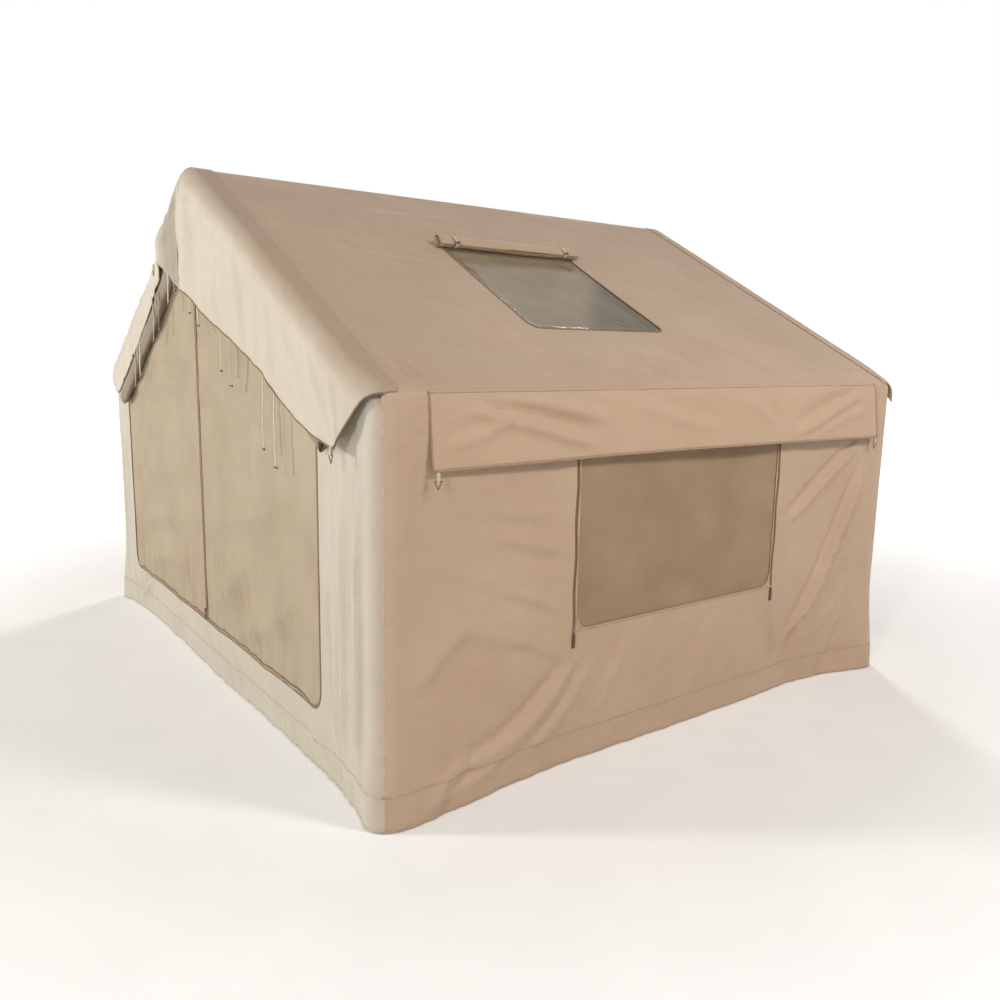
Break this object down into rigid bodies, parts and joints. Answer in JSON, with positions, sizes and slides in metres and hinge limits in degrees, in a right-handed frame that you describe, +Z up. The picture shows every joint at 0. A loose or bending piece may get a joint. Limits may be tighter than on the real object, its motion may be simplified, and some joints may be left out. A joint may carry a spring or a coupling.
{
  "type": "inflatable tent",
  "caption": "Gable-roofed inflatable frame tent with a mesh door gable, rolled curtains, mesh side windows under eave flaps and a clear roof window.",
  "frame": {"origin": "middle of the groundsheet's underside, on the ground", "axes": "+Z up, -Y out of the door gable, +X towards the slope with the roof window; the ridge runs along Y"},
  "size_m": [3.5918, 3.1224, 2.4549],
  "materials": {
    "groundsheet_pvc": "laminated groundsheet, grey brown",
    "cover_cloth": "coated woven cover cloth, matt sand tan",
    "cover_cloth_front": "coated woven cover cloth in the light, matt cream tan",
    "beam_pvc": "coated air-beam cloth, light grey",
    "valve_plastic": "black moulded plastic",
    "clear_pvc": "clear flexible film over a dim inside",
    "black_webbing": "black woven tape",
    "window_mesh": "fine insect mesh, tan brown",
    "curtain_canvas": "rolled canvas, shaded grey brown",
    "zip_tape": "brown zip tape with coil teeth",
    "dark_metal": "black coated metal",
    "door_mesh": "fine insect mesh, sand"
  },
  "bodies": {
    "tent": {"groundsheet": "groundsheet_pvc", "skirt_band": "cover_cloth", "wall_front": "cover_cloth_front", "wall_rear": "cover_cloth", "wall_right": "cover_cloth", "wall_left": "cover_cloth", "roof_right": "cover_cloth", "roof_left": "cover_cloth", "rear_verge": "cover_cloth", "front_arch_beam": "beam_pvc", "rear_arch_beam": "beam_pvc", "ridge_beam": "beam_pvc", "eave_beam_right": "beam_pvc", "eave_beam_left": "beam_pvc", "inflation_valve_body": "valve_plastic", "skylight_pane": "clear_pvc", "skylight_cover_roll": "cover_cloth", "skylight_tie_front": "black_webbing", "skylight_tie_rear": "black_webbing", "window_mesh_right": "window_mesh", "window_mesh_left": "window_mesh", "valance_right": "cover_cloth_front", "valance_left": "cover_cloth_front", "valance_loop_right": "black_webbing", "valance_loop_left": "black_webbing", "curtain_roll_right": "curtain_canvas", "curtain_roll_left": "curtain_canvas", "window_zip_right_front": "zip_tape", "window_zip_right_rear": "zip_tape", "window_zip_left_front": "zip_tape", "window_zip_left_rear": "zip_tape", "curtain_tie_right_upper": "black_webbing", "curtain_tie_right_middle": "black_webbing", "curtain_tie_right_lower": "black_webbing", "curtain_tie_left_upper": "black_webbing", "curtain_tie_left_middle": "black_webbing", "curtain_tie_left_lower": "black_webbing"},
    "eave_flap_right_body": {"eave_flap_right": "cover_cloth", "flap_loop_right_front": "black_webbing", "flap_loop_right_rear": "black_webbing"},
    "flap_hook_right_front_body": {"flap_hook_right_front": "dark_metal"},
    "flap_hook_right_rear_body": {"flap_hook_right_rear": "dark_metal"},
    "valance_hook_right_body": {"valance_hook_right": "dark_metal"},
    "zip_slider_right_front_body": {"zip_slider_right_front": "dark_metal"},
    "zip_slider_right_rear_body": {"zip_slider_right_rear": "dark_metal"},
    "door_leaf_right_body": {"door_leaf_right": "door_mesh", "door_zip_right": "zip_tape"},
    "eave_flap_left_body": {"eave_flap_left": "cover_cloth", "flap_loop_left_front": "black_webbing", "flap_loop_left_rear": "black_webbing"},
    "flap_hook_left_front_body": {"flap_hook_left_front": "dark_metal"},
    "flap_hook_left_rear_body": {"flap_hook_left_rear": "dark_metal"},
    "valance_hook_left_body": {"valance_hook_left": "dark_metal"},
    "zip_slider_left_front_body": {"zip_slider_left_front": "dark_metal"},
    "zip_slider_left_rear_body": {"zip_slider_left_rear": "dark_metal"},
    "door_leaf_left_body": {"door_leaf_left": "door_mesh", "door_zip_left": "zip_tape"},
    "door_zip_slider_body": {"door_zip_slider": "dark_metal"},
    "inflation_valve_plunger_body": {"inflation_valve_plunger": "valve_plastic"},
    "inflation_valve_cap_body": {"inflation_valve_cap": "valve_plastic"}
  },
  "joints": [
    {"name": "eave_flap_right_lift", "type": "hinge", "parent": "tent", "child": "eave_flap_right_body", "pos_m": [1.7503, 0.015, 1.52], "axis": [0, -1, 0], "range_deg": [0, 90]},
    {"name": "flap_hook_right_front_swing", "type": "hinge", "parent": "eave_flap_right_body", "child": "flap_hook_right_front_body", "pos_m": [1.78986, -1.288, 1.21987], "axis": [0, -1, 0], "range_deg": [-45, 70]},
    {"name": "flap_hook_right_rear_swing", "type": "hinge", "parent": "eave_flap_right_body", "child": "flap_hook_right_rear_body", "pos_m": [1.78328, 1.318, 1.21987], "axis": [0, -1, 0], "range_deg": [-45, 70]},
    {"name": "valance_hook_right_swing", "type": "hinge", "parent": "tent", "child": "valance_hook_right_body", "pos_m": [1.56625, -1.56982, 1.29962], "axis": [-1, 0, 0], "range_deg": [-45, 70]},
    {"name": "zip_slider_right_front_run", "type": "slide", "parent": "tent", "child": "zip_slider_right_front_body", "axis": [0, 0, 1], "range_m": [0, 0.66]},
    {"name": "zip_slider_right_rear_run", "type": "slide", "parent": "tent", "child": "zip_slider_right_rear_body", "axis": [0, 0, 1], "range_m": [0, 0.66]},
    {"name": "door_leaf_right_swing", "type": "hinge", "parent": "tent", "child": "door_leaf_right_body", "pos_m": [1.2997, -1.496, 0], "axis": [0, 0, -1], "range_deg": [0, 50]},
    {"name": "eave_flap_left_lift", "type": "hinge", "parent": "tent", "child": "eave_flap_left_body", "pos_m": [-1.7503, 0.015, 1.52], "axis": [0, 1, 0], "range_deg": [0, 90]},
    {"name": "flap_hook_left_front_swing", "type": "hinge", "parent": "eave_flap_left_body", "child": "flap_hook_left_front_body", "pos_m": [-1.78986, -1.288, 1.21987], "axis": [0, 1, 0], "range_deg": [-45, 70]},
    {"name": "flap_hook_left_rear_swing", "type": "hinge", "parent": "eave_flap_left_body", "child": "flap_hook_left_rear_body", "pos_m": [-1.78328, 1.318, 1.21987], "axis": [0, 1, 0], "range_deg": [-45, 70]},
    {"name": "valance_hook_left_swing", "type": "hinge", "parent": "tent", "child": "valance_hook_left_body", "pos_m": [-0.4725, -1.5703, 2.01292], "axis": [-1, 0, 0], "range_deg": [0, 70]},
    {"name": "zip_slider_left_front_run", "type": "slide", "parent": "tent", "child": "zip_slider_left_front_body", "axis": [0, 0, 1], "range_m": [0, 0.66]},
    {"name": "zip_slider_left_rear_run", "type": "slide", "parent": "tent", "child": "zip_slider_left_rear_body", "axis": [0, 0, 1], "range_m": [0, 0.66]},
    {"name": "door_leaf_left_swing", "type": "hinge", "parent": "tent", "child": "door_leaf_left_body", "pos_m": [-1.4197, -1.496, 0], "axis": [0, 0, 1], "range_deg": [0, 50]},
    {"name": "door_zip_run", "type": "slide", "parent": "door_leaf_left_body", "child": "door_zip_slider_body", "axis": [0, 0, 1], "range_m": [0, 1.7]},
    {"name": "inflation_valve_press", "type": "slide", "parent": "tent", "child": "inflation_valve_plunger_body", "axis": [1, 0, 0], "range_m": [0, 0.004], "stiffness_N_per_m": 400, "springref_m": -0.002},
    {"name": "inflation_valve_cap_turn", "type": "hinge", "parent": "tent", "child": "inflation_valve_cap_body", "pos_m": [1.5951, 1.4357, 0.45], "axis": [-1, 0, 0], "range_deg": [0, 90]}
  ]
}
